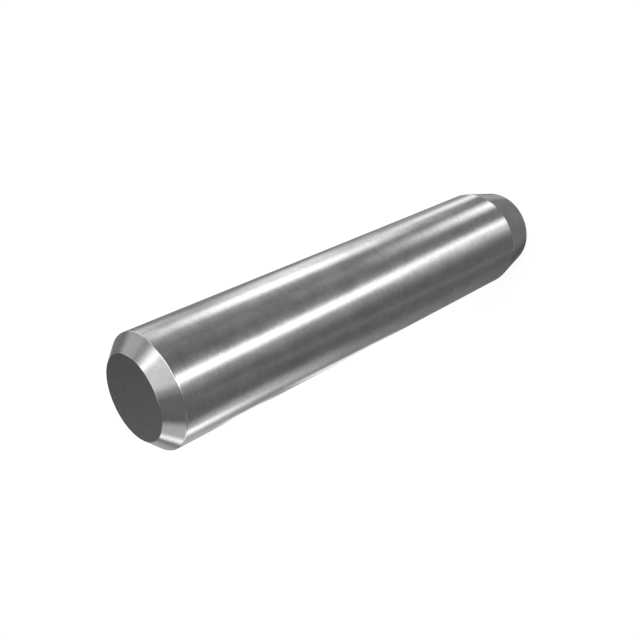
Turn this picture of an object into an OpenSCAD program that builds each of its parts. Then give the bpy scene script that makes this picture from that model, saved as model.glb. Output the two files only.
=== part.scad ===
// Taper lock stud: one solid steel pin, ground on its body and driven into a reamed hole.
// The pin stands on its lead end: the origin is the centre of that end face, and +Z runs
// along the axis to the chamfered end.

/* [Body] */
// Diameter of the ground body
body_d = 5; // [4:0.1:8]
// Length of the stud from end face to end face
stud_length = 24; // [10:0.5:60]

/* [Lead end] */
// Length of the lead taper along the axis
lead_length = 2.03; // [0.5:0.01:4]
// Angle between the lead taper and the axis, in degrees
lead_angle = 12.8; // [5:0.1:20]

/* [Chamfered end] */
// Length of the chamfer along the axis
chamfer_length = 0.66; // [0.3:0.01:1.2]
// Angle between the chamfer and the axis, in degrees
chamfer_angle = 45; // [30:1:50]

/* [Edges] */
// Radius that breaks the edge between the body and the chamfer
foot_edge_r = 0.1; // [0.05:0.01:0.2]
// Radius that breaks each of the other edges
edge_r = 0.05; // [0.02:0.01:0.1]

/* [Hidden] */

body_r = body_d / 2;
lead_face_r = body_r - lead_length * tan(lead_angle);
chamfer_face_r = body_r - chamfer_length * tan(chamfer_angle);
chamfer_z = stud_length - chamfer_length;

// Facets around the pin, and along the arc of each broken edge
round_fn = 256;
edge_steps = 4;

// Points of an arc of radius r that rounds the corner b between its neighbours a and c,
// on a convex outline that runs anticlockwise
function rounded(a, b, c, r) =
    let (
        back = (a - b) / norm(a - b),
        ahead = (c - b) / norm(c - b),
        half = acos(back * ahead) / 2,
        centre = b + (back + ahead) / norm(back + ahead) * r / sin(half),
        start = b + back * r / tan(half) - centre,
        start_angle = atan2(start.y, start.x),
        turn = 180 - 2 * half
    )
    [for (i = [0:edge_steps])
        let (t = start_angle + turn * i / edge_steps)
        centre + r * [cos(t), sin(t)]];

// Half section of the pin: the lead face, the taper, the body, the chamfer and its face
module half_section() {
    low = [0, 0];
    lead_rim = [lead_face_r, 0];
    lead_top = [body_r, lead_length];
    chamfer_foot = [body_r, chamfer_z];
    chamfer_rim = [chamfer_face_r, stud_length];
    high = [0, stud_length];
    polygon(concat(
        [low],
        rounded(low, lead_rim, lead_top, edge_r),
        rounded(lead_rim, lead_top, chamfer_foot, edge_r),
        rounded(lead_top, chamfer_foot, chamfer_rim, foot_edge_r),
        rounded(chamfer_foot, chamfer_rim, high, edge_r),
        [high]
    ));
}

module stud() {
    color("#9a9c9e")
    rotate_extrude($fn = round_fn)
    half_section();
}

stud();
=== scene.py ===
import math

import bmesh
import bpy
from mathutils import Matrix, Vector


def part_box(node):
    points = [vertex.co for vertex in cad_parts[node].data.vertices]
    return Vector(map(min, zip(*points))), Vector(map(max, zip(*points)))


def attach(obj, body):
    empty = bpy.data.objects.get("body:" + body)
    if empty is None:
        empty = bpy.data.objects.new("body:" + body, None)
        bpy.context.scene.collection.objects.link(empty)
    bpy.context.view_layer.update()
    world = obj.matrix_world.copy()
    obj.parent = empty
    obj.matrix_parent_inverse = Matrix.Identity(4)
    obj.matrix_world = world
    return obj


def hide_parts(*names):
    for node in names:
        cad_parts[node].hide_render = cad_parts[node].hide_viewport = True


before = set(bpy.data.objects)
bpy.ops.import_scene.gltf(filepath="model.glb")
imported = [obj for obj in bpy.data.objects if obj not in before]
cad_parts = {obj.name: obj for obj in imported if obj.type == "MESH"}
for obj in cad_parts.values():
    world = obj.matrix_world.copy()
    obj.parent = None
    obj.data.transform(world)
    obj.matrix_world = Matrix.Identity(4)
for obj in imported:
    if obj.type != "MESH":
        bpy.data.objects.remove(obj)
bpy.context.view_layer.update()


# ---- The stud ---------------------------------------------------------------------------
# One solid pin of hardened steel. The bar is turned to length with a long shallow lead
# taper at one end and a short bevel at the other, its edges are broken, and the body is
# then ground between centreless wheels, so it is smoother than the turned ends.
lead_face, bevel_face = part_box("stud")
body_radius = bevel_face.x
lead_length = 0.00203
lead_angle = math.radians(12.8)
bevel_length = 0.00066
bevel_angle = math.radians(45)
edge_radius = 0.00005
bevel_foot_radius = 0.0001
edge_steps = 6
facets_round = 360
ring_spacing = 0.0008
fewest_rings = 4

GROUND, TURNED, FACED = range(3)


def broken_edge(before, corner, after, radius):
    """Points of the arc that breaks a corner of the section, each with its outward normal."""
    back = (before - corner).normalized()
    ahead = (after - corner).normalized()
    half = back.angle(ahead) / 2
    centre = corner + (back + ahead).normalized() * (radius / math.sin(half))
    start = corner + back * (radius / math.tan(half)) - centre
    start_angle = math.atan2(start.y, start.x)
    arc = []
    for step in range(edge_steps + 1):
        angle = start_angle + (math.pi - 2 * half) * step / edge_steps
        normal = Vector((math.cos(angle), math.sin(angle)))
        arc.append((centre + normal * radius, normal))
    return arc


def straight(start, end, count):
    """Points between the two ends of a straight stretch, which share its normal."""
    normal = start[1]
    return [(start[0].lerp(end[0], n / count), normal) for n in range(1, count)]


def half_section():
    """The stud's half section as (point, normal, finish of the stretch that follows)."""
    z_low, z_high = lead_face.z, bevel_face.z
    corners = [
        Vector((0, z_low)),
        Vector((body_radius - lead_length * math.tan(lead_angle), z_low)),
        Vector((body_radius, z_low + lead_length)),
        Vector((body_radius, z_high - bevel_length)),
        Vector((body_radius - bevel_length * math.tan(bevel_angle), z_high)),
        Vector((0, z_high)),
    ]
    edge_radii = [edge_radius, edge_radius, bevel_foot_radius, edge_radius]
    stretches = [FACED, TURNED, GROUND, TURNED, FACED]
    section = [(corners[0], Vector((0, -1)), FACED)]
    for n, finish in enumerate(stretches):
        last = n == len(stretches) - 1
        if last:
            arc = [(corners[-1], Vector((0, 1)))]
        else:
            arc = broken_edge(*corners[n:n + 3], edge_radii[n])
        length = (arc[0][0] - section[-1][0]).length
        count = max(fewest_rings, round(length / ring_spacing))
        for point, normal in straight(section[-1][:2], arc[0], count):
            section.append((point, normal, finish))
        for point, normal in arc:
            section.append((point, normal, TURNED))
        if not last:
            section[-1] = (*arc[-1], stretches[n + 1])
    return section


def turned_body(name, section):
    """Turns a half section about Z into a closed mesh with the section's own normals."""
    shape = bmesh.new()
    rings = []
    for point, _, _ in section:
        if point.x == 0:
            rings.append([shape.verts.new((0, 0, point.y))])
            continue
        ring = []
        for n in range(facets_round):
            angle = 2 * math.pi * n / facets_round
            ring.append(shape.verts.new(
                (point.x * math.cos(angle), point.x * math.sin(angle), point.y)))
        rings.append(ring)
    for lower, upper, (_, _, finish) in zip(rings, rings[1:], section):
        for n in range(facets_round):
            m = (n + 1) % facets_round
            if len(lower) == 1:
                corners = [lower[0], upper[m], upper[n]]
            elif len(upper) == 1:
                corners = [lower[n], lower[m], upper[0]]
            else:
                corners = [lower[n], lower[m], upper[m], upper[n]]
            face = shape.faces.new(corners)
            face.material_index = finish
            face.smooth = True
    mesh = bpy.data.meshes.new(name)
    shape.to_mesh(mesh)
    shape.free()

    normals = []
    for point, normal, _ in section:
        around = 1 if point.x == 0 else facets_round
        for n in range(around):
            angle = 2 * math.pi * n / facets_round
            normals.append(
                (normal.x * math.cos(angle), normal.x * math.sin(angle), normal.y))
    mesh.normals_split_custom_set_from_vertices(normals)
    piece = bpy.data.objects.new(name, mesh)
    bpy.context.scene.collection.objects.link(piece)
    return piece


def node(tree, kind, **settings):
    """Adds a shader node and sets its properties."""
    made = tree.nodes.new(kind)
    for key, value in settings.items():
        setattr(made, key, value)
    return made


def math_node(tree, operation, first, second=None):
    """Adds a math node; each operand is a socket or a number. Returns its output."""
    made = node(tree, "ShaderNodeMath", operation=operation)
    for socket, value in zip(made.inputs, (first, second)):
        if isinstance(value, bpy.types.NodeSocket):
            tree.links.new(value, socket)
        elif value is not None:
            socket.default_value = value
    return made.outputs[0]


def shader_group(name, inputs, outputs):
    """A new node group. Returns its tree, and its inner sockets by name."""
    tree = bpy.data.node_groups.new(name, "ShaderNodeTree")
    for socket, kind in inputs.items():
        tree.interface.new_socket(socket, in_out="INPUT", socket_type="NodeSocket" + kind)
    for socket, kind in outputs.items():
        tree.interface.new_socket(socket, in_out="OUTPUT", socket_type="NodeSocket" + kind)
    given = tree.nodes.new("NodeGroupInput").outputs
    result = tree.nodes.new("NodeGroupOutput").inputs
    return tree, given, result


def noise(tree, vector, detail, distortion=0.0):
    """Adds a noise texture of scale 1 at a vector and returns its value, about 0.2 to 0.8."""
    texture = node(tree, "ShaderNodeTexNoise")
    tree.links.new(vector, texture.inputs["Vector"])
    texture.inputs["Scale"].default_value = 1.0
    texture.inputs["Detail"].default_value = detail
    texture.inputs["Distortion"].default_value = distortion
    return texture.outputs[0]


def combined(tree, x, y, z):
    """Puts three values together as a vector."""
    made = node(tree, "ShaderNodeCombineXYZ")
    for socket, value in zip(made.inputs, (x, y, z)):
        tree.links.new(value, socket)
    return made.outputs[0]


def tool_marks_group():
    """Fine lines that run round the pin, as the wheel or the lathe tool leaves them."""
    tree, given, result = shader_group(
        "tool marks", {"Point": "Vector", "Spacing": "Float", "Length": "Float"},
        {"Height": "Float"})
    xyz = node(tree, "ShaderNodeSeparateXYZ")
    tree.links.new(given["Point"], xyz.inputs[0])
    x, y, z = xyz.outputs
    # The tool feeds up the body, and in towards the axis on the bevel and the end faces.
    square = math_node(tree, "ADD", math_node(tree, "MULTIPLY", x, x),
                       math_node(tree, "MULTIPLY", y, y))
    feed = math_node(tree, "SUBTRACT", z, math_node(tree, "SQRT", square))
    lines = combined(tree, math_node(tree, "DIVIDE", x, given["Length"]),
                     math_node(tree, "DIVIDE", y, given["Length"]),
                     math_node(tree, "DIVIDE", feed, given["Spacing"]))
    tree.links.new(noise(tree, lines, detail=3), result["Height"])
    return tree


def mottle_group():
    """Soft blotches, longer along the pin than across it."""
    tree, given, result = shader_group(
        "mottle", {"Point": "Vector", "Size": "Float", "Stretch": "Float"},
        {"Mottle": "Float"})
    xyz = node(tree, "ShaderNodeSeparateXYZ")
    tree.links.new(given["Point"], xyz.inputs[0])
    x, y, z = xyz.outputs
    long = math_node(tree, "MULTIPLY", given["Size"], given["Stretch"])
    blotches = combined(tree, math_node(tree, "DIVIDE", x, given["Size"]),
                        math_node(tree, "DIVIDE", y, given["Size"]),
                        math_node(tree, "DIVIDE", z, long))
    tree.links.new(noise(tree, blotches, detail=2), result["Mottle"])
    return tree


def fade_out(tree, value, start, end):
    """Falls smoothly from 1 to 0 as a value goes from start to end."""
    made = node(tree, "ShaderNodeMapRange", interpolation_type="SMOOTHSTEP")
    tree.links.new(value, made.inputs["Value"])
    for socket, limit in (("From Min", start), ("From Max", end)):
        if isinstance(limit, bpy.types.NodeSocket):
            tree.links.new(limit, made.inputs[socket])
        else:
            made.inputs[socket].default_value = limit
    made.inputs["To Min"].default_value = 1
    made.inputs["To Max"].default_value = 0
    return made.outputs[0]


def scaled(tree, vector, factor):
    """Multiplies a vector by a factor, which is a socket or a number."""
    made = node(tree, "ShaderNodeVectorMath", operation="SCALE")
    tree.links.new(vector, made.inputs[0])
    if isinstance(factor, bpy.types.NodeSocket):
        tree.links.new(factor, made.inputs["Scale"])
    else:
        made.inputs["Scale"].default_value = factor
    return made.outputs[0]


def handling_marks_group():
    """Sparse hairline scratches from handling in the tray: 1 on a scratch, 0 off it."""
    scratch_level = 0.5
    swirl_bend = 0.6
    gap_scale = 1.7
    gap_level = 0.52
    whole_level = 0.62
    tree, given, result = shader_group(
        "handling marks", {"Point": "Vector", "Size": "Float", "Width": "Float"},
        {"Scratch": "Float"})
    # A scratch runs along one level of a bent noise, with gaps where a second noise is low.
    place = scaled(tree, given["Point"], math_node(tree, "DIVIDE", 1.0, given["Size"]))
    swirl = noise(tree, place, detail=0, distortion=swirl_bend)
    off_line = math_node(tree, "ABSOLUTE", math_node(tree, "SUBTRACT", swirl, scratch_level))
    line = fade_out(tree, off_line, 0, given["Width"])
    gaps = noise(tree, scaled(tree, place, gap_scale), detail=1)
    whole = node(tree, "ShaderNodeMapRange", interpolation_type="SMOOTHSTEP")
    tree.links.new(gaps, whole.inputs["Value"])
    whole.inputs["From Min"].default_value = gap_level
    whole.inputs["From Max"].default_value = whole_level
    scratch = math_node(tree, "MULTIPLY", line, whole.outputs[0])
    tree.links.new(scratch, result["Scratch"])
    return tree


def nicks_group():
    """Tiny round dents from other pins in the tray: 1 at the bottom of one, 0 off it."""
    tree, given, result = shader_group(
        "nicks", {"Point": "Vector", "Spacing": "Float", "Radius": "Float"},
        {"Nick": "Float"})
    place = scaled(tree, given["Point"], math_node(tree, "DIVIDE", 1.0, given["Spacing"]))
    cells = node(tree, "ShaderNodeTexVoronoi")
    tree.links.new(place, cells.inputs["Vector"])
    cells.inputs["Scale"].default_value = 1.0
    reach = math_node(tree, "DIVIDE", given["Radius"], given["Spacing"])
    tree.links.new(fade_out(tree, cells.outputs["Distance"], 0, reach), result["Nick"])
    return tree


tool_marks = tool_marks_group()
mottle = mottle_group()
handling_marks = handling_marks_group()
nicks = nicks_group()


def placed(tree, group, **values):
    """Puts a node group in a material, at the object's own coordinates."""
    made = node(tree, "ShaderNodeGroup", node_tree=group)
    point = node(tree, "ShaderNodeTexCoord").outputs["Object"]
    tree.links.new(point, made.inputs["Point"])
    for name, value in values.items():
        made.inputs[name].default_value = value
    return made.outputs[0]


def ranged(tree, value, low, high):
    """Carries a noise value over to the range from low to high."""
    noise_low = 0.3
    noise_high = 0.7
    made = node(tree, "ShaderNodeMapRange", clamp=True)
    tree.links.new(value, made.inputs["Value"])
    made.inputs["From Min"].default_value = noise_low
    made.inputs["From Max"].default_value = noise_high
    made.inputs["To Min"].default_value = low
    made.inputs["To Max"].default_value = high
    return made.outputs[0]


# What the three finishes share. Sizes, spacings and depths are in metres.
blotch_stretch = 1.6
wave_size = 0.0006
grain_size = 0.0002
grain_stretch = 1.2
mark_shade = 0.02
uneven_roughness = 0.02
scratch_spacing = 0.002
scratch_width = 0.004
scratch_depth = 2e-7
scratch_roughness = 0.08
nick_spacing = 0.0003
nick_radius = 0.00004
nick_depth = 1e-6


def steel_finish(name, grey, roughness, mark_spacing, mark_length, mark_depth, blotch_size,
                 blotch_shade, wave_depth, grain_shade, grain_depth, painted_nick_glint):
    """One finish of the same bare steel, with a painted glint brightening its colour in the
    nicks.
    """
    material = bpy.data.materials.new(name)
    material.use_nodes = True
    tree = material.node_tree
    shader = tree.nodes["Principled BSDF"]
    shader.inputs["Metallic"].default_value = 1.0

    marks = placed(tree, tool_marks, Spacing=mark_spacing, Length=mark_length)
    blotches = placed(tree, mottle, Size=blotch_size, Stretch=blotch_stretch)
    waves = placed(tree, mottle, Size=wave_size, Stretch=blotch_stretch)
    grain = placed(tree, mottle, Size=grain_size, Stretch=grain_stretch)
    scratches = placed(tree, handling_marks, Size=scratch_spacing, Width=scratch_width)
    dents_and_painted_glints = placed(tree, nicks, Spacing=nick_spacing, Radius=nick_radius)

    shade = math_node(tree, "MULTIPLY",
                      ranged(tree, blotches, 1 - blotch_shade, 1 + blotch_shade),
                      ranged(tree, marks, 1 - mark_shade, 1 + mark_shade))
    shade = math_node(tree, "MULTIPLY", shade,
                      ranged(tree, grain, 1 - grain_shade, 1 + grain_shade))
    # Painted highlight: the colour is made brighter at the bottom of each nick, standing in
    # for the glint a dent catches from the lamps.
    painted_glint = math_node(tree, "ADD", math_node(tree, "MULTIPLY", dents_and_painted_glints, painted_nick_glint), 1.0)
    shade = math_node(tree, "MULTIPLY", shade, painted_glint)
    tint = node(tree, "ShaderNodeCombineColor")
    for socket in tint.inputs:
        tree.links.new(math_node(tree, "MULTIPLY", shade, grey), socket)
    tree.links.new(tint.outputs[0], shader.inputs["Base Color"])

    rough = math_node(tree, "ADD",
                      ranged(tree, blotches, -uneven_roughness, uneven_roughness),
                      ranged(tree, marks, roughness - uneven_roughness,
                             roughness + uneven_roughness))
    rough = math_node(tree, "ADD", rough,
                      math_node(tree, "MULTIPLY", scratches, scratch_roughness))
    tree.links.new(rough, shader.inputs["Roughness"])

    height = math_node(tree, "MULTIPLY", marks, mark_depth)
    for layer, depth in ((waves, wave_depth), (grain, grain_depth),
                         (scratches, -scratch_depth), (dents_and_painted_glints, -nick_depth)):
        height = math_node(tree, "ADD", height, math_node(tree, "MULTIPLY", layer, depth))
    bump = node(tree, "ShaderNodeBump")
    bump.inputs["Distance"].default_value = 1.0
    tree.links.new(height, bump.inputs["Height"])
    tree.links.new(bump.outputs[0], shader.inputs["Normal"])
    return material


stud = turned_body("ground_stud", half_section())
finishes = {
    GROUND: steel_finish(
        "ground steel", grey=0.62, roughness=0.17,
        mark_spacing=0.00005, mark_length=0.0015, mark_depth=2e-7,
        blotch_size=0.0008, blotch_shade=0.085, wave_depth=9e-7,
        grain_shade=0.045, grain_depth=1.3e-6, painted_nick_glint=0.4),
    TURNED: steel_finish(
        "turned steel", grey=0.62, roughness=0.15,
        mark_spacing=0.00008, mark_length=0.003, mark_depth=2e-7,
        blotch_size=0.0006, blotch_shade=0.05, wave_depth=8e-7,
        grain_shade=0.03, grain_depth=3e-7, painted_nick_glint=0.2),
    FACED: steel_finish(
        "faced steel", grey=0.60, roughness=0.17,
        mark_spacing=0.00012, mark_length=0.003, mark_depth=2e-7,
        blotch_size=0.0006, blotch_shade=0.02, wave_depth=3e-7,
        grain_shade=0.01, grain_depth=5e-8, painted_nick_glint=0.0),
}
for finish in (GROUND, TURNED, FACED):
    stud.data.materials.append(finishes[finish])
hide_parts("stud")
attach(stud, "root")


# ---- The floor --------------------------------------------------------------------------
# A backlit sheet of white board that the stud stands on. Its far edges are out of sight.
floor_half = 0.6
board_grey = 0.3
board_glow = 0.84
white = (1, 1, 1, 1)
floor_mesh = bpy.data.meshes.new("white_board")
floor_mesh.from_pydata(
    [(-floor_half, -floor_half, 0), (floor_half, -floor_half, 0),
     (floor_half, floor_half, 0), (-floor_half, floor_half, 0)], [], [(0, 1, 2, 3)])
floor = bpy.data.objects.new("white_board", floor_mesh)
bpy.context.scene.collection.objects.link(floor)
board = bpy.data.materials.new("backlit white board")
board.use_nodes = True
board_shader = board.node_tree.nodes["Principled BSDF"]
board_shader.inputs["Base Color"].default_value = (board_grey, board_grey, board_grey, 1)
board_shader.inputs["Roughness"].default_value = 1.0
board_shader.inputs["Specular IOR Level"].default_value = 0.0
board_shader.inputs["Emission Color"].default_value = white
board_shader.inputs["Emission Strength"].default_value = board_glow
floor_mesh.materials.append(board)
floor.visible_glossy = False
floor.visible_shadow = False


# ---- The light --------------------------------------------------------------------------
# A dim room with soft boxes round the stud, which the steel mirrors, and one wide soft lamp
# overhead for the board. Azimuth 0 is +Y and 90 is +X; angles are in degrees.
half_turn = 180
room_glow = 0.13
backdrop_glow = 1.0
soft_boxes = {
    # azimuth, elevation, half width, half height, lean, soft sides, soft ends, brightness
    "long window": (184.6, -25, 6.5, 20, 0.3, 8.7, 3, 2.3),
    "window top": (184, 21, 6, 27, -0.2, 7, 4, 2.0),
    "window foot": (170.5, -51.5, 5.6, 6, 0.5, 9, 2, 1.4),
    "foot spill": (180, -52, 13, 6.8, 0.5, 9, 4, 0.42),
    "window spill": (187.5, -25, 23.5, 40, 0.2, 14, 8, 0.22),
    "round lamp": (83, -37, 9.2, 6.5, -0.15, 8.5, 6, 1.9),
    "lamp post": (83.5, -10, 11, 16, 0, 9, 9, 0.55),
    "shelf": (56, -38, 14.5, 3.7, 0, 8, 3, 0.6),
    "shelf wash": (64, -36, 13, 8, 0, 9, 5, 0.28),
    "shelf glint": (51, -28.5, 9, 1.8, 0, 6, 2, 0.28),
    "side lamp": (101, 8, 7, 18, 0, 7, 8, 0.72),
    "side shelf": (59, -17.5, 17, 9, 0, 8, 2, 0.95),
    "middle wash": (108, -37, 28, 20, 0, 15, 10, 0.09),
    "lamp spill": (102, -33, 9, 7, 0, 8, 6, 0.14),
    "low spill": (44, -49, 12, 6, 0, 9, 5, 0.15),
    "floor lamp": (62.3, -50, 9.4, 5, 0.5, 8, 4, 1.1),
    "low lamp": (110.8, -57, 10, 7.4, 0.85, 10.5, 7, 2.3),
    "low wash": (46, -61, 17, 7, 0, 12, 5, 0.25),
    "right lamp": (292.4, -25, 5.8, 5.2, 0, 6, 5, 1.45),
    "right lamp post": (295, -4, 16, 18, 0, 9, 8, 0.8),
    "right wash": (286, -30, 15, 7.2, 0, 10, 5, 0.38),
    "right corner": (317.5, -24, 18.5, 5.5, 0, 8, 2, 0.21),
    "right wall": (324, -34, 38, 11, 0, 20, 12, 0.2),
    "right strip": (338, -31.3, 10, 1.6, 0, 5, 1.0, 1.0),
    "right shelf": (334, -38.8, 9, 3.6, -2, 5, 1.5, 0.85),
    "side wall": (38, -38, 50, 22, 0, 30, 18, 0.14),
    "left wash": (142, -46, 17, 16, 0, 10, 8, 0.058),
    "dark wall": (180, -40, 125, 45, 0, 20, 15, 0.028),
    "wall panel": (240.5, -41, 7, 16, -0.87, 4.5, 5, 0.05),
    "side fill": (262, 5, 20, 28, 0, 12, 10, 0.11),
    "floor": (160, -90, 130, 25, 0, 20, 8, 0.056),
    "floor flag": (312, -64, 16, 8, 0, 8, 5, -0.035),
    "floor middle": (150, -75, 50, 12, 0, 20, 8, 0.03),
    "edge light": (148, 14, 50, 17, 0, 12, 8, 0.22),
    "window edge": (198, 12, 8, 18, 0, 6, 8, 0.28),
    "right edge light": (284, 12, 8, 12, 0, 6, 6, 0.5),
    "ceiling": (152, 61, 42, 14, 0, 16, 8, 0.74),
    "ceiling tail": (201, 61, 16, 14, 0, 8, 8, 0.14),
    "skylight": (0, 90, 360, 18, 0, 1, 5, 0.9),
    "back wall": (235, 50, 35, 25, 0, 8, 8, 0.05),
    "back window": (147, 44, 27, 6, 0, 9, 3, 3.0),
    "key lamp": (106.5, 50, 9, 12, 0, 9, 5, 1.5),
    "key spill": (88.5, 45, 8, 5, 0, 5, 4, 0.42),
    "left panel": (69, 20.3, 22, 18, 0, 10, 6, 0.41),
    "left front": (35, 5, 25, 15, 0, 8, 8, 0.1),
    "right panel": (-65, 25, 19, 14.5, 0, 8, 8, 0.48),
    "right post": (-49, 16, 6, 10, 0, 4.5, 6, 0.7),
    "streak": (-49.5, 15, 1, 6, 0, 1.2, 3, 0.5),
    "front fill": (-22, 25, 14, 12, 0, 14, 6, 0.1),
    "front flag": (22, 25, 14, 12, 0, 14, 6, -0.08),
    "front": (-12, -8, 24, 18, 0, 9, 6, 0.31),
}
box_inputs = ("At Azimuth", "At Elevation", "Half Width", "Half Height", "Lean",
              "Soft Sides", "Soft Ends", "Brightness")


def soft_box_group():
    """One soft box: how bright a direction looks through it."""
    tree, given, result = shader_group(
        "soft box", {name: "Float" for name in ("Azimuth", "Elevation", *box_inputs)},
        {"Light": "Float"})

    def within(distance, half, soft):
        return fade_out(tree, math_node(tree, "ABSOLUTE", distance),
                        math_node(tree, "SUBTRACT", half, soft),
                        math_node(tree, "ADD", half, soft))

    rise = math_node(tree, "SUBTRACT", given["Elevation"], given["At Elevation"])
    turn = math_node(tree, "SUBTRACT", given["Azimuth"], given["At Azimuth"])
    turn = math_node(tree, "SUBTRACT", turn, math_node(tree, "MULTIPLY", rise, given["Lean"]))
    wrapped = node(tree, "ShaderNodeMath", operation="WRAP")
    tree.links.new(turn, wrapped.inputs[0])
    wrapped.inputs[1].default_value = half_turn
    wrapped.inputs[2].default_value = -half_turn
    across = within(wrapped.outputs[0], given["Half Width"], given["Soft Sides"])
    along = within(rise, given["Half Height"], given["Soft Ends"])
    light = math_node(tree, "MULTIPLY", math_node(tree, "MULTIPLY", across, along),
                      given["Brightness"])
    tree.links.new(light, result["Light"])
    return tree


studio = bpy.data.worlds.new("studio")
studio.use_nodes = True
bpy.context.scene.world = studio
room = studio.node_tree
direction = node(room, "ShaderNodeTexCoord").outputs["Generated"]
split = node(room, "ShaderNodeSeparateXYZ")
room.links.new(direction, split.inputs[0])
azimuth = math_node(room, "DEGREES", math_node(
    room, "ARCTAN2", split.outputs["X"], split.outputs["Y"]))
elevation = math_node(room, "DEGREES", math_node(room, "ARCSINE", split.outputs["Z"]))
total = room_glow
group = soft_box_group()
for box in soft_boxes.values():
    lit = node(room, "ShaderNodeGroup", node_tree=group)
    room.links.new(azimuth, lit.inputs["Azimuth"])
    room.links.new(elevation, lit.inputs["Elevation"])
    for name, value in zip(box_inputs, box):
        lit.inputs[name].default_value = value
    total = math_node(room, "ADD", total, lit.outputs["Light"])
seen = node(room, "ShaderNodeLightPath")
shown = node(room, "ShaderNodeMix", data_type="FLOAT")
room.links.new(seen.outputs["Is Camera Ray"], shown.inputs["Factor"])
room.links.new(total, shown.inputs["A"])
shown.inputs["B"].default_value = backdrop_glow
room.links.new(shown.outputs["Result"], room.nodes["Background"].inputs["Strength"])
room.nodes["Background"].inputs["Color"].default_value = white

lamp_size = 0.5
lamp_height = 0.5
lamp_watts = 0.5
lamp_data = bpy.data.lights.new("overhead_soft_box", "AREA")
lamp_data.shape = "DISK"
lamp_data.size = lamp_size
lamp_data.energy = lamp_watts
lamp = bpy.data.objects.new("overhead_soft_box", lamp_data)
lamp.location = (0, 0, lamp_height)
lamp.visible_glossy = False
lamp.visible_camera = False
bpy.context.scene.collection.objects.link(lamp)

bpy.context.scene.view_settings.view_transform = "Standard"


# ---- The camera -------------------------------------------------------------------------
# It looks down on the standing stud from the bevelled end, rolled so that the stud lies
# across the picture from lower left to upper right. Heading is from +Y towards -X.
eye = Vector((0, -0.030185, 0.038116))
heading = math.radians(0.686)
tilt_down = math.radians(38.514)
roll = math.radians(-115.458)
view_angle = math.radians(41.42)

camera_data = bpy.data.cameras.new("camera")
camera_data.sensor_width = 36
camera_data.lens = camera_data.sensor_width / 2 / math.tan(view_angle / 2)
camera_data.clip_start = 0.001
camera_data.clip_end = 5
camera = bpy.data.objects.new("camera", camera_data)
camera.matrix_world = (
    Matrix.Translation(eye)
    @ Matrix.Rotation(heading, 4, "Z")
    @ Matrix.Rotation(math.pi / 2 - tilt_down, 4, "X")
    @ Matrix.Rotation(roll, 4, "Z"))
bpy.context.scene.collection.objects.link(camera)
bpy.context.scene.camera = camera
